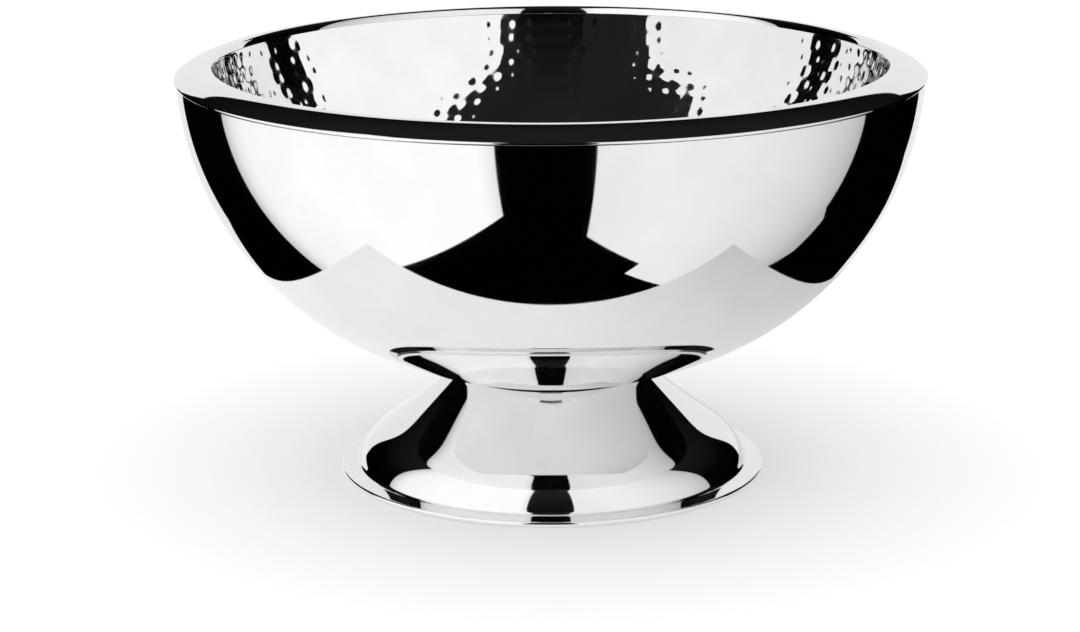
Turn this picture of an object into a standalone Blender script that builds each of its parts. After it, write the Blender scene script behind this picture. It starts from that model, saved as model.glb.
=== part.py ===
"""Double-walled punch bowl on a pedestal foot, as separate pieces.

Metres, +Z up. The origin is the centre of the base, and the foot stands on z = 0.
Every round piece is turned about Z from an outline of (radius, height) points.
"""

import math

import bmesh
import bpy
from mathutils import Vector

MM = 0.001
QUARTER = math.pi / 2

# Driving sizes of the whole bowl, in metres.
RIM_RADIUS = 215.0 * MM
TOTAL_HEIGHT = 241.2 * MM
FOOT_RADIUS = 124.5 * MM
NECK_RADIUS = 56.4 * MM
NECK_HEIGHT = 59.5 * MM

WALL_SHEET = 0.8 * MM
GAP = 0.3 * MM
SEGMENTS = 64
HARDWARE_SEGMENTS = 32
CROWN_STEPS = 3
SIDE_STEPS = 8
FLARE_STEPS = 8

# Rolled rim: a steep inner leg, a tight bend, a broad crowned face and a small curl at the edge.
RIM_LEG_CURVE = 9.0 * MM
RIM_LEG_FOOT = math.radians(172)
RIM_BEND = 1.8 * MM
RIM_BEND_START = math.radians(150)
RIM_CROWN = 33.0 * MM
RIM_FACE_END = math.radians(53.6)
RIM_CURL = 1.0 * MM
CURL_CENTRE_R = RIM_RADIUS - RIM_CURL
CURL_CENTRE_Z = TOTAL_HEIGHT - RIM_CROWN + (RIM_CROWN - RIM_CURL) * math.sin(RIM_FACE_END)
RIDGE_R = CURL_CENTRE_R - (RIM_CROWN - RIM_CURL) * math.cos(RIM_FACE_END)
LEG_CENTRE_R = RIDGE_R + (RIM_BEND - RIM_LEG_CURVE) * math.cos(RIM_BEND_START)
LEG_CENTRE_Z = TOTAL_HEIGHT - RIM_BEND + (RIM_BEND - RIM_LEG_CURVE) * math.sin(RIM_BEND_START)
RIM_INSIDE_R = LEG_CENTRE_R + RIM_LEG_CURVE * math.cos(RIM_LEG_FOOT)

# Outer shell: a flat seat for the foot, a shallow crown arc and a tighter side arc up to the rim.
SHELL_WIDEST_R = 214.2 * MM
SHELL_WIDEST_Z = 243.0 * MM
SHELL_SIDE_RADIUS = 182.0 * MM
SHELL_POLE_Z = 53.1 * MM
SHELL_SHOULDER_Z = CURL_CENTRE_Z - RIM_CURL - GAP
SPIGOT_RISE = 1.6 * MM

# Inner bowl: the same two arcs, still flaring at the lip, with its raw edge hidden behind the leg of the rim.
BOWL_LIP_R = RIM_INSIDE_R + WALL_SHEET + 2 * GAP
BOWL_LIP_Z = 237.8 * MM
BOWL_LIP_FLARE = math.radians(14)
BOWL_SIDE_RADIUS = 195.0 * MM
BOWL_POLE_Z = 72.0 * MM
BOWL_WIDEST_R = BOWL_LIP_R + BOWL_SIDE_RADIUS * (1 - math.cos(BOWL_LIP_FLARE))
BOWL_WIDEST_Z = BOWL_LIP_Z + BOWL_SIDE_RADIUS * math.sin(BOWL_LIP_FLARE)

# Pedestal foot: flat top, rounded shoulder, flare, flange and a flat folded hem to stand on.
GASKET_THICKNESS = 0.4 * MM
GASKET_HOLE_RADIUS = 45.6 * MM
FOOT_TOP_Z = NECK_HEIGHT - GASKET_THICKNESS - 2 * GAP
SHOULDER_RADIUS = 3.0 * MM
FLARE_TOP_SLOPE = math.radians(45.8)
FLARE_FOOT_SLOPE = math.radians(69.2)
FLARE_FOOT = Vector((114.0, 5.5)) * MM
FLARE_TOP_PULL = 47.1 * MM
FLARE_FOOT_PULL = 22.9 * MM
FLANGE_FILLET = 3.0 * MM
HEM_RADIUS = 1.3 * MM
HEM_LENGTH = 5.0 * MM
HEM_START = math.radians(100)

# Fixing that clamps the foot to the bowl: M8 stud, disc, washers and nut.
STUD_RADIUS = 4.0 * MM
STUD_END_Z = 41.5 * MM
STUD_CHAMFER = 0.8 * MM
HEAD_RADIUS = 9.0 * MM
HEAD_HEIGHT = 3.4 * MM
HOLE_RADIUS = STUD_RADIUS + GAP
DISC_RADIUS = 46.0 * MM
DISC_THICKNESS = 2.5 * MM
DISC_Z = NECK_HEIGHT + WALL_SHEET + GAP
CLAMP_RADIUS = 28.0 * MM
CLAMP_THICKNESS = 2.0 * MM
CLAMP_TOP_Z = FOOT_TOP_Z - WALL_SHEET - GAP
SPRING_RADIUS = 7.4 * MM
SPRING_THICKNESS = 2.2 * MM
SPRING_TOP_Z = CLAMP_TOP_Z - CLAMP_THICKNESS - GAP
SPRING_SPLIT = math.radians(16)
NUT_ACROSS_FLATS = 13.0 * MM
NUT_HEIGHT = 6.5 * MM
NUT_TOP_Z = SPRING_TOP_Z - SPRING_THICKNESS - GAP
NUT_SIDES = 24

SHARP_ANGLE = math.radians(32)
MERGE = 1e-6


def clear_scene():
    """Remove every object, so that the script can be run again in the same file."""
    for item in list(bpy.data.objects):
        bpy.data.objects.remove(item, do_unlink=True)


def make_material(name, colour, roughness, metallic):
    """A plain Principled material."""
    material = bpy.data.materials.new(name)
    material.use_nodes = True
    shader = material.node_tree.nodes["Principled BSDF"]
    shader.inputs["Base Color"].default_value = (*colour, 1.0)
    shader.inputs["Roughness"].default_value = roughness
    shader.inputs["Metallic"].default_value = metallic
    return material


def arc(centre_r, centre_z, radius, start, end, steps):
    """Points on a circular arc, its angles measured from the +R direction towards +Z."""
    points = []
    for step in range(steps + 1):
        angle = start + (end - start) * step / steps
        points.append(Vector((centre_r + radius * math.cos(angle), centre_z + radius * math.sin(angle))))
    return points


def cubic(start, start_pull, end_pull, end, steps):
    """Points along a cubic curve, without its first point."""
    points = []
    for step in range(1, steps + 1):
        t = step / steps
        s = 1 - t
        points.append(s**3 * start + 3 * s * s * t * start_pull + 3 * s * t * t * end_pull + t**3 * end)
    return points


def bowl_arc_angles(widest_r, widest_z, side_radius, pole_z):
    """Crown radius, and the angle off the axis at which the crown arc turns into the side arc."""
    offset = widest_r - side_radius
    spare = widest_z - pole_z - side_radius
    difference = (offset**2 + spare**2) / (2 * spare)
    return difference + side_radius, math.asin(offset / difference)


def bowl_path(widest_r, widest_z, side_radius, pole_z, start_r, end_z, crown_steps, side_steps):
    """A bowl's outline from start_r near the axis up to end_z, as a crown arc and a side arc."""
    crown_radius, turn = bowl_arc_angles(widest_r, widest_z, side_radius, pole_z)
    crown_start = math.asin(start_r / crown_radius)
    side_end = math.asin((end_z - widest_z) / side_radius)
    crown = arc(0, pole_z + crown_radius, crown_radius, crown_start - QUARTER, turn - QUARTER, crown_steps)
    side = arc(widest_r - side_radius, widest_z, side_radius, turn - QUARTER, side_end, side_steps)
    return crown + side[1:]


def offset_path(path, distance):
    """The path moved sideways to its left by a distance, with mitred corners."""
    moved = []
    for index, point in enumerate(path):
        before = path[max(index - 1, 0)]
        after = path[min(index + 1, len(path) - 1)]
        into = (point - before).normalized() if index else (after - point).normalized()
        out = (after - point).normalized() if index < len(path) - 1 else into
        left_in = Vector((-into.y, into.x))
        left_out = Vector((-out.y, out.x))
        mitre = (left_in + left_out).normalized()
        moved.append(point + mitre * (distance / mitre.dot(left_in)))
    return moved


def sheet_outline(path, thickness):
    """A closed outline for sheet metal: the path is one face and the other lies to its left."""
    return list(path) + offset_path(path, thickness)[::-1]


def box_outline(inner_r, outer_r, low_z, high_z):
    """A rectangular section."""
    corners = ((inner_r, low_z), (outer_r, low_z), (outer_r, high_z), (inner_r, high_z))
    return [Vector(corner) for corner in corners]


def add_object(name, bm, material):
    """Turn a bmesh into a named, smooth-shaded object."""
    bmesh.ops.remove_doubles(bm, verts=bm.verts, dist=MERGE)
    bmesh.ops.recalc_face_normals(bm, faces=bm.faces)
    mesh = bpy.data.meshes.new(name)
    bm.to_mesh(mesh)
    bm.free()
    mesh.materials.append(material)
    mesh.shade_smooth()
    mesh.set_sharp_from_angle(angle=SHARP_ANGLE)
    item = bpy.data.objects.new(name, mesh)
    bpy.context.scene.collection.objects.link(item)
    return item


def profile_edges(bm, outline, closed):
    """Draw an outline in the XZ plane and return its vertices and edges."""
    verts = [bm.verts.new((point.x, 0, point.y)) for point in outline]
    pairs = list(zip(verts, verts[1:]))
    if closed:
        pairs.append((verts[-1], verts[0]))
    return verts + [bm.edges.new(pair) for pair in pairs]


def turn(name, outline, material, segments=SEGMENTS, closed=True):
    """Turn an outline once about Z. An open outline has both ends on the axis."""
    bm = bmesh.new()
    geometry = profile_edges(bm, outline, closed)
    bmesh.ops.spin(bm, geom=geometry, axis=(0, 0, 1), angle=math.tau, steps=segments, use_merge=True)
    return add_object(name, bm, material)


def make_outer_shell(material):
    """Polished outer wall with a flat seat at the bottom and a spigot inside the rim."""
    seat = [Vector((HOLE_RADIUS, NECK_HEIGHT))]
    wall = bowl_path(
        SHELL_WIDEST_R,
        SHELL_WIDEST_Z,
        SHELL_SIDE_RADIUS,
        SHELL_POLE_Z,
        NECK_RADIUS,
        SHELL_SHOULDER_Z,
        CROWN_STEPS,
        SIDE_STEPS,
    )
    wall[0].y = NECK_HEIGHT
    spigot_r = wall[-1].x - WALL_SHEET - GAP
    spigot = [
        Vector((spigot_r, SHELL_SHOULDER_Z + GAP)),
        Vector((spigot_r, SHELL_SHOULDER_Z + SPIGOT_RISE)),
    ]
    return turn("outer_shell", sheet_outline(seat + wall + spigot, WALL_SHEET), material)


def make_inner_bowl(material):
    """Hammered inner wall that holds the drink."""
    inside = bowl_path(
        BOWL_WIDEST_R,
        BOWL_WIDEST_Z,
        BOWL_SIDE_RADIUS,
        BOWL_POLE_Z,
        0,
        BOWL_LIP_Z,
        CROWN_STEPS,
        SIDE_STEPS,
    )
    outside = offset_path(inside, -WALL_SHEET)
    outside[0].x = 0
    return turn("inner_bowl", inside + outside[::-1], material, closed=False)


def make_rim_ring(material):
    """Rolled rim, open underneath, that hooks over the raw edges of both walls."""
    leg = arc(LEG_CENTRE_R, LEG_CENTRE_Z, RIM_LEG_CURVE, RIM_LEG_FOOT, RIM_BEND_START, 2)
    bend = arc(RIDGE_R, TOTAL_HEIGHT - RIM_BEND, RIM_BEND, RIM_BEND_START, QUARTER, 3)
    face = arc(RIDGE_R, TOTAL_HEIGHT - RIM_CROWN, RIM_CROWN, QUARTER, RIM_FACE_END, 5)
    curl = arc(CURL_CENTRE_R, CURL_CENTRE_Z, RIM_CURL, RIM_FACE_END, -QUARTER, 5)
    path = leg + bend[1:] + face[1:] + curl[1:]
    return turn("rim_ring", sheet_outline(path, -WALL_SHEET), material)


def foot_path():
    """The foot's outer side, from the stud hole over the shoulder and flare to the folded hem."""
    shoulder_r = NECK_RADIUS - GAP
    shoulder_z = FOOT_TOP_Z - SHOULDER_RADIUS
    shoulder_end = QUARTER - FLARE_TOP_SLOPE
    shoulder = arc(shoulder_r, shoulder_z, SHOULDER_RADIUS, QUARTER, shoulder_end, 2)

    top_direction = Vector((math.cos(FLARE_TOP_SLOPE), -math.sin(FLARE_TOP_SLOPE)))
    foot_direction = Vector((math.cos(FLARE_FOOT_SLOPE), -math.sin(FLARE_FOOT_SLOPE)))
    start = shoulder[-1]
    start_pull = start + top_direction * FLARE_TOP_PULL
    end_pull = FLARE_FOOT - foot_direction * FLARE_FOOT_PULL
    flare = cubic(start, start_pull, end_pull, FLARE_FOOT, FLARE_STEPS)

    fillet_centre = FLARE_FOOT + Vector((-foot_direction.y, foot_direction.x)) * FLANGE_FILLET
    fillet_start = 3 * QUARTER - FLARE_FOOT_SLOPE
    fillet = arc(fillet_centre.x, fillet_centre.y, FLANGE_FILLET, fillet_start, 3 * QUARTER, 2)

    hem_r = FOOT_RADIUS - HEM_RADIUS
    hem = arc(hem_r, HEM_RADIUS, HEM_RADIUS, HEM_START, -QUARTER, 5)
    tongue = [Vector((hem_r - HEM_LENGTH, 0))]
    return [Vector((HOLE_RADIUS, FOOT_TOP_Z))] + shoulder + flare + fillet[1:] + hem + tongue


def make_pedestal_foot(material):
    """Spun foot, one sheet from the stud hole to the hem."""
    return turn("pedestal_foot", sheet_outline(foot_path(), -WALL_SHEET), material)


def make_neck_gasket(material):
    """Thin ring that fills the joint line between the bowl and the foot."""
    low_z = FOOT_TOP_Z + GAP
    outline = box_outline(GASKET_HOLE_RADIUS, NECK_RADIUS, low_z, low_z + GASKET_THICKNESS)
    return turn("neck_gasket", outline, material)


def make_mounting_disc(material):
    """Stiff disc inside the double wall that the stud's head pulls down on."""
    outline = box_outline(HOLE_RADIUS, DISC_RADIUS, DISC_Z, DISC_Z + DISC_THICKNESS)
    return turn("mounting_disc", outline, material)


def make_fixing_stud(material):
    """Headed stud that hangs down through the disc, the shell and the foot."""
    head_z = DISC_Z + DISC_THICKNESS + GAP
    head_top = head_z + HEAD_HEIGHT
    corners = (
        (0, STUD_END_Z),
        (STUD_RADIUS - STUD_CHAMFER, STUD_END_Z),
        (STUD_RADIUS, STUD_END_Z + STUD_CHAMFER),
        (STUD_RADIUS, head_z),
        (HEAD_RADIUS, head_z),
        (HEAD_RADIUS, head_top - STUD_CHAMFER),
        (HEAD_RADIUS - STUD_CHAMFER, head_top),
        (0, head_top),
    )
    outline = [Vector(corner) for corner in corners]
    return turn("fixing_stud", outline, material, HARDWARE_SEGMENTS, closed=False)


def make_clamp_washer(material):
    """Large plain washer that spreads the nut's load under the foot's top."""
    outline = box_outline(HOLE_RADIUS, CLAMP_RADIUS, CLAMP_TOP_Z - CLAMP_THICKNESS, CLAMP_TOP_Z)
    return turn("clamp_washer", outline, material, HARDWARE_SEGMENTS)


def make_lock_washer(material):
    """Split spring washer: the section swept nearly all the way round, with both ends closed."""
    outline = box_outline(HOLE_RADIUS, SPRING_RADIUS, SPRING_TOP_Z - SPRING_THICKNESS, SPRING_TOP_Z)
    bm = bmesh.new()
    geometry = profile_edges(bm, outline, closed=True)
    sweep = math.tau - SPRING_SPLIT
    bmesh.ops.spin(bm, geom=geometry, axis=(0, 0, 1), angle=sweep, steps=HARDWARE_SEGMENTS)
    end_edges = [edge for edge in bm.edges if edge.is_boundary]
    bmesh.ops.holes_fill(bm, edges=end_edges, sides=4)
    return add_object("lock_washer", bm, material)


def nut_ring(bm, radius_at, z):
    """One ring of the nut, its radius given by a function of the angle."""
    ring = []
    for index in range(NUT_SIDES):
        angle = math.tau * index / NUT_SIDES
        radius = radius_at(angle)
        ring.append(bm.verts.new((radius * math.cos(angle), radius * math.sin(angle), z)))
    return ring


def hexagon_radius(angle):
    """Distance from the nut's centre to its side at an angle."""
    sixth = math.pi / 3
    off_flat = angle % sixth - sixth / 2
    return NUT_ACROSS_FLATS / 2 / math.cos(off_flat)


def bore_radius(_angle):
    """Distance from the nut's centre to its bore, the same all round."""
    return HOLE_RADIUS


def make_hex_nut(material):
    """Hexagon nut with a plain bore, lofted through four rings back to the first."""
    bm = bmesh.new()
    low_z = NUT_TOP_Z - NUT_HEIGHT
    rings = (
        nut_ring(bm, bore_radius, low_z),
        nut_ring(bm, hexagon_radius, low_z),
        nut_ring(bm, hexagon_radius, NUT_TOP_Z),
        nut_ring(bm, bore_radius, NUT_TOP_Z),
    )
    for index, ring in enumerate(rings):
        above = rings[(index + 1) % len(rings)]
        for side in range(NUT_SIDES):
            next_side = (side + 1) % NUT_SIDES
            bm.faces.new((ring[side], ring[next_side], above[next_side], above[side]))
    return add_object("hex_nut", bm, material)


def main():
    clear_scene()
    mirror_steel = make_material("mirror_steel", (0.86, 0.86, 0.87), 0.04, 1.0)
    hammered_steel = make_material("hammered_steel", (0.84, 0.84, 0.85), 0.08, 1.0)
    plain_steel = make_material("plain_steel", (0.62, 0.62, 0.63), 0.35, 1.0)
    zinc_steel = make_material("zinc_steel", (0.66, 0.68, 0.71), 0.30, 1.0)
    black_rubber = make_material("black_rubber", (0.02, 0.02, 0.02), 0.70, 0.0)

    make_outer_shell(mirror_steel)
    make_inner_bowl(hammered_steel)
    make_rim_ring(mirror_steel)
    make_pedestal_foot(mirror_steel)
    make_neck_gasket(black_rubber)
    make_mounting_disc(plain_steel)
    make_fixing_stud(zinc_steel)
    make_clamp_washer(plain_steel)
    make_lock_washer(zinc_steel)
    make_hex_nut(zinc_steel)


main()
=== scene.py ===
"""Looks of the punch bowl: fine turned meshes, hammered dimples, polished metal, a plain studio and a camera.

Metres, +Z up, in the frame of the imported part, which stands on z = 0 with its axis on Z.
Every round piece is lofted through rings of vertices about Z, from an outline of (radius, height) points.
"""

import math

import bpy
import numpy as np
from mathutils import Matrix, Vector


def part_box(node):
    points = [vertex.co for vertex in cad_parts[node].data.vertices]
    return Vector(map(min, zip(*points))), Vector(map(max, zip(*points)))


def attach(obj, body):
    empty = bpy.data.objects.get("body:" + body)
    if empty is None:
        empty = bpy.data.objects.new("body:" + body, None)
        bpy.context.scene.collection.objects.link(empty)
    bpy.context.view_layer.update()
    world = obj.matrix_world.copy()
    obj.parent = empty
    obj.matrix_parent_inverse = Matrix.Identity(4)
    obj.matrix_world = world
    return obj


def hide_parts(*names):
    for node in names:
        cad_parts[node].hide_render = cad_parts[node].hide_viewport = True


MM = 0.001
QUARTER = math.pi / 2
SHARP_ANGLE = math.radians(35)

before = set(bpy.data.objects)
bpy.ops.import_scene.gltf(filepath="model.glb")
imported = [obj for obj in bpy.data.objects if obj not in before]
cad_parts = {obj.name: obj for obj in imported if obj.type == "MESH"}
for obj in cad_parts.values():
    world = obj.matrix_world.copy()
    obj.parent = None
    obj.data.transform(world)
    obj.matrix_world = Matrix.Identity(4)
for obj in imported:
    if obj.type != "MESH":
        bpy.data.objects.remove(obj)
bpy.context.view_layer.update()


# ---------------------------------------------------------------- sizes

def reach(node):
    """Largest radius of a round node."""
    return max(vertex.co.xy.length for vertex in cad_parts[node].data.vertices)


def low(node):
    """Height of a node's underside."""
    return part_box(node)[0].z


def high(node):
    """Height of a node's top."""
    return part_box(node)[1].z


# Measured on the frame.
RIM_R = reach("rim_ring")
RIM_TOP = high("rim_ring")
SHELL_TOP = high("outer_shell")
SEAT_Z = low("outer_shell")
BOWL_TOP = high("inner_bowl")
FOOT_R = reach("pedestal_foot")
FOOT_TOP = high("pedestal_foot")
NECK_R = reach("neck_gasket")
STUD_END = low("fixing_stud")
STUD_TOP = high("fixing_stud")
HEAD_R = reach("fixing_stud")

# The part's other driving sizes, which a box can't show.
SHEET = 0.8 * MM
GAP = 0.3 * MM
HOLE_R = 4.3 * MM
STUD_R = 4.0 * MM
HEAD_HEIGHT = 3.4 * MM
NUT_FLATS = 13.0 * MM
GASKET_HOLE_SHARE = 0.8
GASKET_EDGE = 0.12 * MM
DISC_EDGE = 0.4 * MM
CLAMP_EDGE = 0.35 * MM
SPRING_EDGE = 0.3 * MM
NUT_FACE_SHARE = 0.97
NUT_CHAMFER = math.radians(30)
NUT_SINK = 0.5 * MM
STUD_CHAMFER = 0.8 * MM
SPRING_SPLIT = math.radians(16)

SHELL_WIDEST = Vector((214.2, 243.0)) * MM
SHELL_SIDE_R = 182.0 * MM
SHELL_POLE_Z = 53.1 * MM
SPIGOT_RISE = 1.6 * MM
BOWL_LIP_FLARE = math.radians(14)
BOWL_SIDE_R = 195.0 * MM
BOWL_POLE_Z = 72.0 * MM

RIM_LEG_CURVE = 9.0 * MM
RIM_LEG_FOOT = math.radians(172)
RIM_BEND = 1.8 * MM
RIM_BEND_START = math.radians(150)
RIM_CROWN = 33.0 * MM
RIM_FACE_END = math.radians(53.6)
RIM_CURL = 1.0 * MM
CURL_SWING = RIM_CROWN - RIM_CURL
CURL_CENTRE = Vector((RIM_R - RIM_CURL, RIM_TOP - RIM_CROWN + CURL_SWING * math.sin(RIM_FACE_END)))
RIDGE_R = CURL_CENTRE.x - CURL_SWING * math.cos(RIM_FACE_END)
BEND_CENTRE = Vector((RIDGE_R, RIM_TOP - RIM_BEND))
BEND_START_WAY = Vector((math.cos(RIM_BEND_START), math.sin(RIM_BEND_START)))
LEG_CENTRE = BEND_CENTRE + BEND_START_WAY * (RIM_BEND - RIM_LEG_CURVE)
RIM_INSIDE_R = LEG_CENTRE.x + RIM_LEG_CURVE * math.cos(RIM_LEG_FOOT)
BOWL_LIP_R = RIM_INSIDE_R + SHEET + 2 * GAP
BOWL_WIDEST_R = BOWL_LIP_R + BOWL_SIDE_R * (1 - math.cos(BOWL_LIP_FLARE))
BOWL_WIDEST = Vector((BOWL_WIDEST_R, BOWL_TOP + BOWL_SIDE_R * math.sin(BOWL_LIP_FLARE)))

FOOT_SHOULDER = 3.0 * MM
FLARE_TOP_SLOPE = math.radians(45.8)
FLARE_FOOT_SLOPE = math.radians(69.2)
FLARE_FOOT = Vector((114.0, 5.5)) * MM
FLARE_TOP_PULL = 47.1 * MM
FLARE_FOOT_PULL = 22.9 * MM
FLANGE_FILLET = 3.0 * MM
HEM_RADIUS = 1.3 * MM
HEM_LENGTH = 5.0 * MM
HEM_START = math.radians(100)

# Hammering: staggered rows of shallow round dents.
DENT_ROW = 8.8 * MM
DENT_PITCH = 10.4 * MM
DENT_RADIUS = 4.4 * MM
DENT_DEPTH = 0.21 * MM
DENT_WANDER = 0.9 * MM
DENT_SHALLOWEST = 0.7
DENT_DEEPEST = 1.3
DENT_SEED = 7

# Mesh density of the bowl's inside: full outside a share of the lip's radius, and halved towards the pole.
INSIDE_SEGMENTS = 768
INSIDE_FULL_SHARE = 0.62
INSIDE_RING_STEP = 1.65 * MM
SKIN_SEGMENTS = 96

# Threads of the M8 stud.
THREAD_PITCH = 1.25 * MM
THREAD_DEPTH = 0.6 * MM
THREAD_STEPS = 8

TURN_SEGMENTS = 360
SMALL_SEGMENTS = 96

# Procedural finishes: turning lines are stretched around the axis, and heights of bumps are in metres.
TURN_STRETCH = 0.04
TURN_RISE = 0.7
RUBBER_GRAIN = 0.04 * MM

# Camera: a long lens, a little above the rim and nearly square to it.
LENS = 100.17
SENSOR = 36.0
CAMERA_PLACE = (-0.0069, -1.7038, 0.5333)
CAMERA_PITCH = math.radians(14.634)
CAMERA_ROLL = math.radians(-0.336)

# Studio light: the world's even light, and what polished metal sees of it at the horizon and overhead.
SOFT_LIGHT = 1.25
HORIZON_GLOW = 0.0005
CEILING_GLOW = 0.012
FLOOR_HALF = 30.0
FLOOR_Z = -0.6 * MM
TABLE_CARD_Z = -0.9 * MM

# Where the backdrop and the side cards stand on the floor plan, and which way they run.
BACK_START = (0, 1.0)
BACK_WAY = (1, 0)
LEFT_START = (-0.22, -0.83)
LEFT_WAY = (-0.38, 0.945)
RIGHT_START = (0.18, -0.86)
RIGHT_WAY = (0.75, 1.03)
NEARER = 6.0 * MM

# Outlines of the cards that the outside mirrors: distance along the card, and height.
BACKDROP = ((-0.735, -0.34), (0.54, -0.34), (0.60, -0.22), (0.76, -0.16), (0.76, 0.75), (-0.735, 0.75))
LEFT_CARD = ((0, -0.41), (0, 1.3), (1.02, 1.3), (1.02, -0.41))
RIGHT_CARD = (
    (0, -0.65),
    (0.37, -0.73),
    (0.34, -0.95),
    (0.68, -1.02),
    (1.24, -0.77),
    (1.33, -0.68),
    (1.33, -0.45),
    (1.23, -0.34),
    (1.23, 1.3),
    (0, 1.3),
)


# ---------------------------------------------------------------- outlines

def arc(centre, radius, start, end, steps):
    """Points on a circular arc, its angles measured from the +R direction towards +Z."""
    angles = np.linspace(start, end, steps + 1).tolist()
    return [Vector((centre[0] + radius * math.cos(a), centre[1] + radius * math.sin(a))) for a in angles]


def cubic(start, start_pull, end_pull, end, steps):
    """Points along a cubic curve, without its first point."""
    points = []
    for t in np.linspace(0, 1, steps + 1).tolist()[1:]:
        s = 1 - t
        points.append(s**3 * start + 3 * s * s * t * start_pull + 3 * s * t * t * end_pull + t**3 * end)
    return points


def bowl_path(widest, side_radius, pole_z, start_r, end_z, crown_steps, side_steps):
    """A bowl's outline from start_r near the axis up to end_z, as a crown arc and a side arc."""
    offset = widest[0] - side_radius
    spare = widest[1] - pole_z - side_radius
    difference = (offset**2 + spare**2) / (2 * spare)
    crown_radius = difference + side_radius
    meet = math.asin(offset / difference) - QUARTER
    crown_start = math.asin(start_r / crown_radius) - QUARTER
    side_end = math.asin((end_z - widest[1]) / side_radius)
    crown = arc((0, pole_z + crown_radius), crown_radius, crown_start, meet, crown_steps)
    side = arc((offset, widest[1]), side_radius, meet, side_end, side_steps)
    return crown + side[1:]


def offset_path(path, distance):
    """The path moved sideways to its left by a distance, with mitred corners."""
    moved = []
    for index, point in enumerate(path):
        before = path[max(index - 1, 0)]
        after = path[min(index + 1, len(path) - 1)]
        into = (point - before).normalized() if index else (after - point).normalized()
        out = (after - point).normalized() if index < len(path) - 1 else into
        left_in = Vector((-into.y, into.x))
        left_out = Vector((-out.y, out.x))
        mitre = (left_in + left_out).normalized()
        moved.append(point + mitre * (distance / mitre.dot(left_in)))
    return moved


def sheet_outline(path, thickness):
    """A closed outline for sheet metal: the path is one face and the other lies to its left."""
    return list(path) + offset_path(path, thickness)[::-1]


def rounded_box(inner_r, outer_r, low_z, high_z, corner, steps=4):
    """A rectangular section with rounded corners, anticlockwise from its lower inner corner."""
    centres = (
        (inner_r + corner, low_z + corner),
        (outer_r - corner, low_z + corner),
        (outer_r - corner, high_z - corner),
        (inner_r + corner, high_z - corner),
    )
    outline = []
    for index, centre in enumerate(centres):
        start = (index - 2) * QUARTER
        outline += arc(centre, corner, start, start + QUARTER, steps)
    return outline


# ---------------------------------------------------------------- meshes

def add_piece(name, node, vertices, faces, materials, face_slots=None):
    """A named, smooth-shaded mesh that rides on the part's body and stands for a CAD node."""
    mesh = bpy.data.meshes.new(name)
    mesh.from_pydata(vertices, [], faces)
    for material in materials:
        mesh.materials.append(material)
    if face_slots is not None:
        mesh.polygons.foreach_set("material_index", face_slots)
    mesh.shade_smooth()
    mesh.set_sharp_from_angle(angle=SHARP_ANGLE)
    piece = bpy.data.objects.new(name, mesh)
    bpy.context.scene.collection.objects.link(piece)
    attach(piece, "root")
    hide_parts(node)
    return piece


def ring(radius, height, count):
    """One ring of vertices about Z. Radius and height are numbers, or arrays with one value per vertex."""
    angles = np.arange(count) * math.tau / count
    points = np.empty((count, 3))
    points[:, 0] = radius * np.cos(angles)
    points[:, 1] = radius * np.sin(angles)
    points[:, 2] = height
    return points


def between(first, first_count, second, second_count):
    """Faces from one ring to the next, which has as many vertices, half or twice as many, or just one."""
    faces = []
    if first_count == 1:
        for index in range(second_count):
            faces.append((first, second + (index + 1) % second_count, second + index))
    elif second_count == 1:
        for index in range(first_count):
            faces.append((first + index, first + (index + 1) % first_count, second))
    elif first_count == second_count:
        for index in range(first_count):
            following = (index + 1) % first_count
            faces.append((first + index, first + following, second + following, second + index))
    elif first_count < second_count:
        for index in range(first_count):
            here = first + index
            there = first + (index + 1) % first_count
            middle = second + 2 * index + 1
            last = second + 2 * (index + 1) % second_count
            faces += [(here, middle, middle - 1), (here, there, middle), (there, last, middle)]
    else:
        for index in range(second_count):
            here = second + index
            there = second + (index + 1) % second_count
            middle = first + 2 * index + 1
            last = first + 2 * (index + 1) % first_count
            faces += [(middle - 1, middle, here), (middle, there, here), (middle, last, there)]
    return faces


def loft(rings, closed=False, capped=False):
    """Vertices and faces through a list of rings, and how many faces each step between rings made."""
    starts = np.cumsum([0] + [len(points) for points in rings])
    faces = []
    step_counts = []
    steps = len(rings) if closed else len(rings) - 1
    for index in range(steps):
        following = (index + 1) % len(rings)
        made = between(starts[index], len(rings[index]), starts[following], len(rings[following]))
        faces += [tuple(int(corner) for corner in face) for face in made]
        step_counts.append(len(made))
    if capped:
        faces.append(tuple(range(len(rings[0])))[::-1])
        faces.append(tuple(range(int(starts[-2]), int(starts[-1]))))
    return np.concatenate(rings).tolist(), faces, step_counts


def turned(name, node, outline, segments, materials, point_slots=None):
    """Turn an anticlockwise outline about Z. Each outline point can name its face's material."""
    rings = [ring(point.x, point.y, segments) for point in outline]
    vertices, faces, step_counts = loft(rings, closed=True)
    face_slots = None
    if point_slots:
        face_slots = np.repeat(point_slots, step_counts)
    return add_piece(name, node, vertices, faces, materials, face_slots)


def make_shell(mirror):
    """Polished outer wall with its flat seat and the spigot inside the rim."""
    shoulder_z = SHELL_TOP - SPIGOT_RISE
    seat = [Vector((HOLE_R, SEAT_Z))]
    wall = bowl_path(SHELL_WIDEST, SHELL_SIDE_R, SHELL_POLE_Z, NECK_R, shoulder_z, 20, 50)
    wall[0].y = SEAT_Z
    spigot_r = wall[-1].x - SHEET - GAP
    spigot = [Vector((spigot_r, shoulder_z + GAP)), Vector((spigot_r, SHELL_TOP))]
    outline = sheet_outline(seat + wall + spigot, SHEET)
    return turned("polished_shell", "outer_shell", outline, TURN_SEGMENTS, [mirror])


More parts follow.
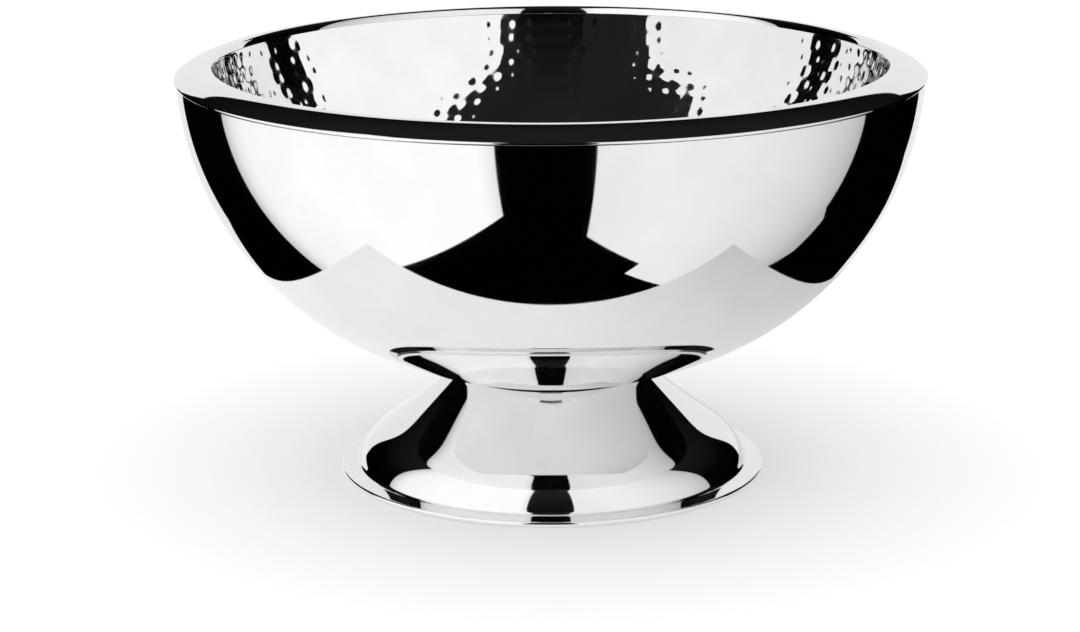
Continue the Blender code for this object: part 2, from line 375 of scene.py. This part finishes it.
def make_rim(mirror):
    """Rolled rim: inner leg, tight bend, crowned face and edge curl."""
    leg = arc(LEG_CENTRE, RIM_LEG_CURVE, RIM_LEG_FOOT, RIM_BEND_START, 8)
    bend = arc(BEND_CENTRE, RIM_BEND, RIM_BEND_START, QUARTER, 8)
    face = arc((RIDGE_R, RIM_TOP - RIM_CROWN), RIM_CROWN, QUARTER, RIM_FACE_END, 16)
    curl = arc(CURL_CENTRE, RIM_CURL, RIM_FACE_END, -QUARTER, 10)
    path = leg + bend[1:] + face[1:] + curl[1:]
    outline = sheet_outline(path, -SHEET)[::-1]
    return turned("rolled_rim", "rim_ring", outline, TURN_SEGMENTS, [mirror])


def foot_path():
    """The foot's outer side, from the stud hole over the shoulder and flare to the folded hem."""
    shoulder_centre = (NECK_R - GAP, FOOT_TOP - FOOT_SHOULDER)
    shoulder = arc(shoulder_centre, FOOT_SHOULDER, QUARTER, QUARTER - FLARE_TOP_SLOPE, 6)
    top_direction = Vector((math.cos(FLARE_TOP_SLOPE), -math.sin(FLARE_TOP_SLOPE)))
    foot_direction = Vector((math.cos(FLARE_FOOT_SLOPE), -math.sin(FLARE_FOOT_SLOPE)))
    start = shoulder[-1]
    start_pull = start + top_direction * FLARE_TOP_PULL
    end_pull = FLARE_FOOT - foot_direction * FLARE_FOOT_PULL
    flare = cubic(start, start_pull, end_pull, FLARE_FOOT, 48)
    fillet_centre = FLARE_FOOT + Vector((-foot_direction.y, foot_direction.x)) * FLANGE_FILLET
    fillet = arc(fillet_centre, FLANGE_FILLET, 3 * QUARTER - FLARE_FOOT_SLOPE, 3 * QUARTER, 8)
    hem_r = FOOT_R - HEM_RADIUS
    hem = arc((hem_r, HEM_RADIUS), HEM_RADIUS, HEM_START, -QUARTER, 12)
    tongue = [Vector((hem_r - HEM_LENGTH, 0))]
    return [Vector((HOLE_R, FOOT_TOP))] + shoulder + flare + fillet[1:] + hem + tongue


def make_foot(mirror, spun):
    """Pedestal, polished outside and left as spun inside."""
    path = foot_path()
    outline = sheet_outline(path, -SHEET)[::-1]
    point_slots = [1] * len(path) + [0] * len(path)
    finishes = [mirror, spun]
    return turned("spun_foot", "pedestal_foot", outline, TURN_SEGMENTS, finishes, point_slots)


def hammer_rows(lengths, radii):
    """Centres and depths of the dents, row by row along the bowl's inside."""
    rng = np.random.default_rng(DENT_SEED)
    rows = []
    for along in np.arange(DENT_ROW, lengths[-1], DENT_ROW):
        radius = np.interp(along, lengths, radii)
        count = max(4, round(math.tau * radius / DENT_PITCH))
        stagger = 0.5 * (len(rows) % 2)
        wander = rng.uniform(-DENT_WANDER, DENT_WANDER, (2, count))
        angles = (np.arange(count) + stagger) * math.tau / count + wander[0] / radius
        depths = DENT_DEPTH * rng.uniform(DENT_SHALLOWEST, DENT_DEEPEST, count)
        rows.append((along + wander[1], angles, depths, stagger))
    return rows


def dent_depths(rows, along, radius, angles):
    """How far the dents push out the wall at one ring, one value per vertex."""
    depth = np.zeros(len(angles))
    for centres, dent_angles, dent_depth, stagger in rows:
        if abs(centres.mean() - along) > DENT_RADIUS + DENT_WANDER:
            continue
        count = len(dent_angles)
        nearest = np.round(angles * count / math.tau - stagger).astype(int)
        for neighbour in (-1, 0, 1):
            index = (nearest + neighbour) % count
            turn_apart = np.angle(np.exp(1j * (angles - dent_angles[index])))
            apart = (turn_apart * radius) ** 2 + (along - centres[index]) ** 2
            fall = np.clip(1 - apart / DENT_RADIUS**2, 0, None) ** 2
            depth = np.maximum(depth, dent_depth[index] * fall)
    return depth


def inside_segments(radius):
    """Segments of a ring of the bowl's inside, halved each time that the radius halves."""
    segments = INSIDE_SEGMENTS
    limit = BOWL_LIP_R * INSIDE_FULL_SHARE
    while radius < limit and segments > SKIN_SEGMENTS:
        segments //= 2
        limit /= 2
    return segments


def make_bowl(hammered):
    """Inner bowl: a plain outer skin up to the lip, and the dented inside back down to the pole."""
    skin = offset_path(bowl_path(BOWL_WIDEST, BOWL_SIDE_R, BOWL_POLE_Z, 0, BOWL_TOP, 8, 18), -SHEET)
    rings = [ring(0, skin[0].y, 1)]
    for index, point in enumerate(skin[1:], start=1):
        from_lip = len(skin) - 1 - index
        rings.append(ring(point.x, point.y, max(SKIN_SEGMENTS, INSIDE_SEGMENTS >> from_lip)))

    dense = np.array(bowl_path(BOWL_WIDEST, BOWL_SIDE_R, BOWL_POLE_Z, 0, BOWL_TOP, 200, 400))
    steps = np.linalg.norm(np.diff(dense, axis=0), axis=1)
    lengths = np.concatenate([[0], np.cumsum(steps)])
    rows = hammer_rows(lengths, dense[:, 0])
    slope = np.gradient(dense, lengths, axis=0)
    for along in np.linspace(lengths[-1], 0, round(lengths[-1] / INSIDE_RING_STEP))[:-1]:
        radius = np.interp(along, lengths, dense[:, 0])
        height = np.interp(along, lengths, dense[:, 1])
        out_r = np.interp(along, lengths, slope[:, 1])
        out_z = -np.interp(along, lengths, slope[:, 0])
        count = inside_segments(radius)
        depth = dent_depths(rows, along, radius, np.arange(count) * math.tau / count)
        rings.append(ring(radius + out_r * depth, height + out_z * depth, count))
    rings.append(ring(0, BOWL_POLE_Z, 1))
    vertices, faces, _ = loft(rings)
    return add_piece("hammered_bowl", "inner_bowl", vertices, faces, [hammered])


def make_gasket(rubber):
    """Neck ring with a soft edge."""
    hole_r = NECK_R * GASKET_HOLE_SHARE
    outline = rounded_box(hole_r, NECK_R, low("neck_gasket"), high("neck_gasket"), GASKET_EDGE)
    turned("gasket_ring", "neck_gasket", outline, TURN_SEGMENTS, [rubber])


def make_disc(plain):
    """Stiff disc inside the double wall, with its sheared edges broken."""
    low_z, high_z = low("mounting_disc"), high("mounting_disc")
    outline = rounded_box(HOLE_R, reach("mounting_disc"), low_z, high_z, DISC_EDGE)
    turned("stiff_disc", "mounting_disc", outline, SMALL_SEGMENTS, [plain])


def make_clamp_washer(plain):
    """Large plain washer with a stamped edge."""
    low_z, high_z = low("clamp_washer"), high("clamp_washer")
    outline = rounded_box(HOLE_R, reach("clamp_washer"), low_z, high_z, CLAMP_EDGE)
    turned("stamped_washer", "clamp_washer", outline, SMALL_SEGMENTS, [plain])


def make_lock_washer(zinc):
    """Split spring washer: a rounded section swept nearly all the way round, with both ends closed."""
    low_z, high_z = low("lock_washer"), high("lock_washer")
    outline = rounded_box(HOLE_R, reach("lock_washer"), low_z, high_z, SPRING_EDGE)
    sections = []
    for angle in np.linspace(-SPRING_SPLIT / 2, SPRING_SPLIT / 2 - math.tau, SMALL_SEGMENTS):
        sections.append(np.array([(p.x * math.cos(angle), p.x * math.sin(angle), p.y) for p in outline]))
    vertices, faces, _ = loft(sections, capped=True)
    add_piece("spring_ring", "lock_washer", vertices, faces, [zinc])


def make_nut(zinc):
    """Hexagon nut: the corners are cut back by a cone, and the bore has a countersink."""
    angles = np.arange(SMALL_SEGMENTS) * math.tau / SMALL_SEGMENTS
    sixth = math.pi / 3
    sides = NUT_FLATS / 2 / np.cos(angles % sixth - sixth / 2)
    face_r = NUT_FLATS / 2 * NUT_FACE_SHARE
    drop = (sides - face_r) * math.tan(NUT_CHAMFER)
    low_z, high_z = low("hex_nut"), high("hex_nut")
    count = SMALL_SEGMENTS
    rings = [
        ring(HOLE_R, low_z + NUT_SINK, count),
        ring(HOLE_R + NUT_SINK, low_z, count),
        ring(face_r, low_z, count),
        ring(sides, low_z + drop, count),
        ring(sides, high_z - drop, count),
        ring(face_r, high_z, count),
        ring(HOLE_R + NUT_SINK, high_z, count),
        ring(HOLE_R, high_z - NUT_SINK, count),
    ]
    vertices, faces, _ = loft(rings, closed=True)
    add_piece("chamfered_nut", "hex_nut", vertices, faces, [zinc])


def make_stud(zinc):
    """Headed stud with a helical thread."""
    angles = np.arange(SMALL_SEGMENTS) / SMALL_SEGMENTS
    head_z = STUD_TOP - HEAD_HEIGHT
    rings = [ring(0, STUD_END, 1), ring(STUD_R - STUD_CHAMFER, STUD_END, SMALL_SEGMENTS)]
    thread_top = head_z - THREAD_PITCH
    for z in np.arange(STUD_END + STUD_CHAMFER, thread_top, THREAD_PITCH / THREAD_STEPS):
        phase = (z / THREAD_PITCH - angles) % 1
        groove = 1 - np.abs(2 * phase - 1)
        depth = THREAD_DEPTH * min(1, (thread_top - z) / THREAD_PITCH)
        rings.append(ring(STUD_R - depth * groove, z, SMALL_SEGMENTS))
    for radius, height in (
        (STUD_R, thread_top),
        (STUD_R, head_z),
        (HEAD_R, head_z),
        (HEAD_R, STUD_TOP - STUD_CHAMFER),
        (HEAD_R - STUD_CHAMFER, STUD_TOP),
    ):
        rings.append(ring(radius, height, SMALL_SEGMENTS))
    rings.append(ring(0, STUD_TOP, 1))
    vertices, faces, _ = loft(rings)
    add_piece("threaded_stud", "fixing_stud", vertices, faces, [zinc])


# ---------------------------------------------------------------- materials

def add_node(tree, kind, inputs=None, **settings):
    """A shader node, whose inputs are plain values or other nodes' outputs."""
    node = tree.nodes.new(kind)
    for name, value in settings.items():
        setattr(node, name, value)
    for name, value in (inputs or {}).items():
        if isinstance(value, bpy.types.NodeSocket):
            tree.links.new(value, node.inputs[name])
        else:
            node.inputs[name].default_value = value
    return node


def maths(tree, operation, first, second=0.0):
    """The result of a maths node on two values."""
    return add_node(tree, "ShaderNodeMath", {0: first, 1: second}, operation=operation).outputs[0]


def spread(tree, value, low_out, high_out, low_in=0.0, high_in=1.0):
    """A value mapped from one range to another, and held inside it."""
    inputs = {"Value": value, "From Min": low_in, "From Max": high_in, "To Min": low_out, "To Max": high_out}
    return add_node(tree, "ShaderNodeMapRange", inputs).outputs["Result"]


def noise(tree, vector, scale, detail=2.0, roughness=0.5):
    """Smooth noise between about 0.25 and 0.75."""
    inputs = {"Vector": vector, "Scale": scale, "Detail": detail, "Roughness": roughness}
    return add_node(tree, "ShaderNodeTexNoise", inputs).outputs["Fac"]


def lathe_coordinates(tree):
    """Plain coordinates, and ones that run fast across the turned surface and slowly around it."""
    position = add_node(tree, "ShaderNodeTexCoord").outputs["Object"]
    parts = add_node(tree, "ShaderNodeSeparateXYZ", {"Vector": position}).outputs
    x_square = maths(tree, "MULTIPLY", parts["X"], parts["X"])
    y_square = maths(tree, "MULTIPLY", parts["Y"], parts["Y"])
    radius = maths(tree, "SQRT", maths(tree, "ADD", x_square, y_square))
    around_x = maths(tree, "MULTIPLY", parts["X"], TURN_STRETCH)
    around_y = maths(tree, "MULTIPLY", parts["Y"], TURN_STRETCH)
    across = maths(tree, "ADD", radius, maths(tree, "MULTIPLY", parts["Z"], TURN_RISE))
    turning = add_node(tree, "ShaderNodeCombineXYZ", {"X": around_x, "Y": around_y, "Z": across})
    return position, turning.outputs[0]


def principled(name):
    """A new material with its node tree and Principled shader."""
    material = bpy.data.materials.new(name)
    material.use_nodes = True
    return material, material.node_tree, material.node_tree.nodes["Principled BSDF"]


def feed(tree, shader, name, value):
    """Give a shader input a value or an output."""
    if isinstance(value, bpy.types.NodeSocket):
        tree.links.new(value, shader.inputs[name])
    else:
        shader.inputs[name].default_value = value


def tint(tree, amount, dark, light):
    """A colour between two, by an amount from 0 to 1."""
    mix = add_node(tree, "ShaderNodeMix", data_type="RGBA")
    tree.links.new(amount, mix.inputs["Factor"])
    mix.inputs["A"].default_value = (*dark, 1)
    mix.inputs["B"].default_value = (*light, 1)
    return mix.outputs["Result"]


def raise_bump(tree, shader, height):
    """Bump the surface by a height in metres."""
    bump = add_node(tree, "ShaderNodeBump", {"Height": height, "Strength": 1.0, "Distance": 1.0})
    feed(tree, shader, "Normal", bump.outputs["Normal"])


def metal(name, dark, light, roughness, line_scale, line_height, wear_height=0.0):
    """Steel with turning or polishing lines, and faint smudges in its gloss."""
    material, tree, shader = principled(name)
    position, turning = lathe_coordinates(tree)
    lines = noise(tree, turning, line_scale, 3.0, 0.6)
    smudges = noise(tree, position, 28.0, 4.0, 0.55)
    wear = noise(tree, position, 240.0, 3.0, 0.6)
    blend = maths(tree, "MULTIPLY", maths(tree, "ADD", lines, smudges), 0.5)
    feed(tree, shader, "Base Color", tint(tree, spread(tree, smudges, 0, 1, 0.3, 0.7), dark, light))
    feed(tree, shader, "Roughness", spread(tree, blend, roughness[0], roughness[1], 0.35, 0.65))
    feed(tree, shader, "Metallic", 1.0)
    line_bump = maths(tree, "MULTIPLY", lines, line_height)
    wear_bump = maths(tree, "MULTIPLY", wear, wear_height)
    raise_bump(tree, shader, maths(tree, "ADD", line_bump, wear_bump))
    return material


def mirror_steel():
    """Mirror-polished steel with very fine polishing lines."""
    return metal(
        "mirror_steel_look",
        dark=(0.84, 0.84, 0.85),
        light=(0.89, 0.89, 0.895),
        roughness=(0.02, 0.05),
        line_scale=900,
        line_height=0.0006 * MM,
    )


def hammered_steel():
    """Polished steel of the hammered inside, a little less even."""
    return metal(
        "hammered_steel_look",
        dark=(0.82, 0.82, 0.83),
        light=(0.88, 0.88, 0.885),
        roughness=(0.03, 0.07),
        line_scale=700,
        line_height=0.0006 * MM,
    )


def spun_steel():
    """Steel as it comes off the lathe, with clear turning lines."""
    return metal(
        "spun_steel_look",
        dark=(0.60, 0.60, 0.61),
        light=(0.72, 0.72, 0.73),
        roughness=(0.20, 0.34),
        line_scale=1400,
        line_height=0.03 * MM,
    )


def plain_steel():
    """Dull stamped steel with light wear."""
    return metal(
        "plain_steel_look",
        dark=(0.50, 0.50, 0.51),
        light=(0.66, 0.66, 0.67),
        roughness=(0.28, 0.46),
        line_scale=300,
        line_height=0.02 * MM,
        wear_height=0.03 * MM,
    )


def zinc_steel():
    """Zinc-plated steel, faintly blue and slightly worn."""
    return metal(
        "zinc_steel_look",
        dark=(0.56, 0.58, 0.62),
        light=(0.70, 0.71, 0.70),
        roughness=(0.22, 0.40),
        line_scale=500,
        line_height=0.01 * MM,
        wear_height=0.03 * MM,
    )


def black_rubber():
    """Dull black rubber with a fine moulded grain."""
    material, tree, shader = principled("black_rubber_look")
    position = add_node(tree, "ShaderNodeTexCoord").outputs["Object"]
    grain = noise(tree, position, 900.0, 3.0, 0.6)
    dust = noise(tree, position, 60.0, 3.0, 0.6)
    feed(tree, shader, "Base Color", tint(tree, dust, (0.010, 0.010, 0.011), (0.035, 0.034, 0.033)))
    feed(tree, shader, "Roughness", spread(tree, grain, 0.55, 0.8))
    raise_bump(tree, shader, maths(tree, "MULTIPLY", grain, RUBBER_GRAIN))
    return material


# ---------------------------------------------------------------- studio

def ramp(tree, value, stops):
    """A level that follows a value from 0 to 1 through (place, level) stops."""
    node = add_node(tree, "ShaderNodeValToRGB", {"Fac": value})
    marks = node.color_ramp.elements
    for place, _ in stops[1:-1]:
        marks.new(place)
    for mark, (place, level) in zip(marks, stops):
        mark.position = place
        mark.color = (level, level, level, 1)
    return node.outputs["Color"]


def glow(name, level, across=((0, 1), (1, 1)), see_through=False):
    """A sheet that only gives light. Its level follows stops from left to right."""
    material = bpy.data.materials.new(name)
    material.use_nodes = True
    tree = material.node_tree
    tree.nodes.clear()
    generated = add_node(tree, "ShaderNodeTexCoord").outputs["Generated"]
    place = add_node(tree, "ShaderNodeSeparateXYZ", {"Vector": generated}).outputs["X"]
    emission = add_node(tree, "ShaderNodeEmission", {"Color": ramp(tree, place, across), "Strength": level})
    surface = emission.outputs[0]
    if see_through:
        clear = add_node(tree, "ShaderNodeBsdfTransparent").outputs[0]
        surface = add_node(tree, "ShaderNodeAddShader", {0: surface, 1: clear}).outputs[0]
    add_node(tree, "ShaderNodeOutputMaterial", {"Surface": surface})
    return material


def stage_face(name, corners, material):
    """One flat face of the studio."""
    mesh = bpy.data.meshes.new(name)
    mesh.from_pydata(corners, [], [tuple(range(len(corners)))])
    mesh.materials.append(material)
    face = bpy.data.objects.new(name, mesh)
    bpy.context.scene.collection.objects.link(face)
    return face


def group(name, pieces):
    """A collection of pieces for light linking."""
    collection = bpy.data.collections.new(name)
    for piece in pieces:
        collection.objects.link(piece)
    return collection


def reflected_only(face, receivers):
    """Show a studio face in the polished metal of its receivers and nowhere else."""
    face.visible_camera = False
    face.visible_diffuse = False
    face.visible_shadow = False
    face.light_linking.receiver_collection = receivers


def upright_card(name, start, way, outline, material, receivers, nearer=0.0):
    """A vertical card: its outline gives (distance, height) from a start on the floor plan, along a way."""
    way = Vector(way).normalized()
    start = Vector(start)
    from_axis = start - way * start.dot(way)
    start -= from_axis.normalized() * nearer
    corners = [(start[0] + way.x * along, start[1] + way.y * along, height) for along, height in outline]
    reflected_only(stage_face(name, corners, material), receivers)


def add_outside_cards(outside):
    """The backdrop, two side cards and the table top that the outside of the bowl and the foot mirror. The
    table top's glow is painted light, brighter on the left.
    """
    soft_edges = ((0, 0.55), (0.08, 0.85), (0.13, 0.93), (0.33, 1), (0.9, 1), (1, 0.8))
    dimming = ((0, 0.95), (0.25, 1), (0.43, 0.955), (0.6, 0.85), (0.83, 0.64), (0.92, 0.52))
    upright_card("backdrop_card", BACK_START, BACK_WAY, BACKDROP, glow("backdrop_glow", 0.88), outside)
    upright_card("left_card", LEFT_START, LEFT_WAY, LEFT_CARD, glow("left_glow", 1.13, soft_edges), outside)
    upright_card("right_card", RIGHT_START, RIGHT_WAY, RIGHT_CARD, glow("right_glow", 0.98, dimming), outside)

    left_x, right_x = -0.253, 0.245
    front_y, back_y = -0.205, 0.95
    table = [
        (left_x, front_y, TABLE_CARD_Z),
        (right_x, front_y, TABLE_CARD_Z),
        (right_x, back_y, TABLE_CARD_Z),
        (left_x, back_y, TABLE_CARD_Z),
    ]
    # Painted light: the table top is no lamp, yet it glows, fading from full on the left to about two thirds
    # on the right as the light falling on it would.
    across = ((0, 1), (0.5, 0.94), (1, 0.66))
    reflected_only(stage_face("table_card", table, glow("table_painted_light", 0.95, across)), outside)


def add_inside_cards(inside):
    """The wider backdrop and the high side cards that the hammered inside mirrors over the rim."""
    backdrop = ((-1.25, -0.30), (1.42, -0.30), (1.42, 0.95), (-1.25, 0.95))
    left = (
        (0.45, -0.30),
        (0.45, 0.50),
        (0.52, 0.71),
        (0.80, 0.72),
        (0.90, 1.0),
        (1.36, 1.0),
        (1.36, 0.50),
        (1.28, 0.35),
        (1.28, -0.30),
    )
    right = (
        (0.14, -0.30),
        (0.14, 0.62),
        (0.20, 0.87),
        (0.31, 0.97),
        (0.56, 1.05),
        (0.74, 1.13),
        (0.85, 1.25),
        (1.75, 1.25),
        (1.75, 0.85),
        (1.60, 0.68),
        (1.60, -0.30),
    )
    # The faint copies stand in for the dark room where the outside cards hide it from the bowl.
    faint = glow("faint_glow", CEILING_GLOW, see_through=True)
    for name, start, way, outline, level, hidden in (
        ("inside_backdrop", BACK_START, BACK_WAY, backdrop, 0.92, BACKDROP),
        ("inside_left", LEFT_START, LEFT_WAY, left, 0.96, LEFT_CARD),
        ("inside_right", RIGHT_START, RIGHT_WAY, right, 1.05, RIGHT_CARD),
    ):
        light = glow(name + "_glow", level, see_through=True)
        upright_card(name + "_card", start, way, outline, light, inside, NEARER)
        upright_card(name + "_faint", start, way, hidden, faint, inside, NEARER / 2)


def floor_material():
    """Pale matt floor that can be seen through from below."""
    material, tree, shader = principled("pale_floor")
    feed(tree, shader, "Base Color", (0.95, 0.95, 0.95, 1))
    feed(tree, shader, "Roughness", 0.9)
    output = tree.nodes["Material Output"]
    behind = add_node(tree, "ShaderNodeNewGeometry").outputs["Backfacing"]
    clear = add_node(tree, "ShaderNodeBsdfTransparent").outputs[0]
    mix = add_node(tree, "ShaderNodeMixShader", {0: behind, 1: shader.outputs[0], 2: clear})
    tree.links.new(mix.outputs[0], output.inputs["Surface"])
    return material


def add_floor():
    """A wide floor just under the foot, left out of the reflections."""
    signs = ((-1, -1), (1, -1), (1, 1), (-1, 1))
    corners = [(x * FLOOR_HALF, y * FLOOR_HALF, FLOOR_Z) for x, y in signs]
    floor = stage_face("floor", corners, floor_material())
    floor.visible_glossy = False


def add_world():
    """A pale surround for the camera, an even soft light, and a dark room for the reflections."""
    world = bpy.data.worlds.new("soft_studio")
    world.use_nodes = True
    bpy.context.scene.world = world
    tree = world.node_tree
    tree.nodes.clear()
    rays = add_node(tree, "ShaderNodeLightPath").outputs
    direction = add_node(tree, "ShaderNodeTexCoord").outputs["Generated"]
    upward = add_node(tree, "ShaderNodeSeparateXYZ", {"Vector": direction}).outputs["Z"]
    ceiling = spread(tree, upward, HORIZON_GLOW, CEILING_GLOW, 0.3, 0.8)
    soft = add_node(tree, "ShaderNodeBackground", {"Color": (1, 1, 1, 1), "Strength": SOFT_LIGHT})
    dark = add_node(tree, "ShaderNodeBackground", {"Color": (1, 1, 1, 1), "Strength": ceiling})
    inputs = {0: rays["Is Glossy Ray"], 1: soft.outputs[0], 2: dark.outputs[0]}
    mix = add_node(tree, "ShaderNodeMixShader", inputs)
    add_node(tree, "ShaderNodeOutputWorld", {"Surface": mix.outputs[0]})


def add_camera():
    """The camera, pitched down at the bowl."""
    data = bpy.data.cameras.new("camera")
    data.lens = LENS
    data.sensor_width = SENSOR
    camera = bpy.data.objects.new("camera", data)
    bpy.context.scene.collection.objects.link(camera)
    pitch = Matrix.Rotation(QUARTER - CAMERA_PITCH, 4, "X")
    roll = Matrix.Rotation(CAMERA_ROLL, 4, "Z")
    camera.matrix_world = Matrix.Translation(CAMERA_PLACE) @ pitch @ roll
    bpy.context.scene.camera = camera


def main():
    mirror = mirror_steel()
    plain = plain_steel()
    zinc = zinc_steel()
    outside = [make_shell(mirror), make_rim(mirror), make_foot(mirror, spun_steel())]
    bowl = make_bowl(hammered_steel())
    make_gasket(black_rubber())
    make_disc(plain)
    make_clamp_washer(plain)
    make_lock_washer(zinc)
    make_nut(zinc)
    make_stud(zinc)

    add_outside_cards(group("outside_pieces", outside))
    add_inside_cards(group("inside_pieces", [bowl]))
    add_floor()
    add_world()
    add_camera()
    bpy.context.scene.view_settings.view_transform = "Standard"


main()
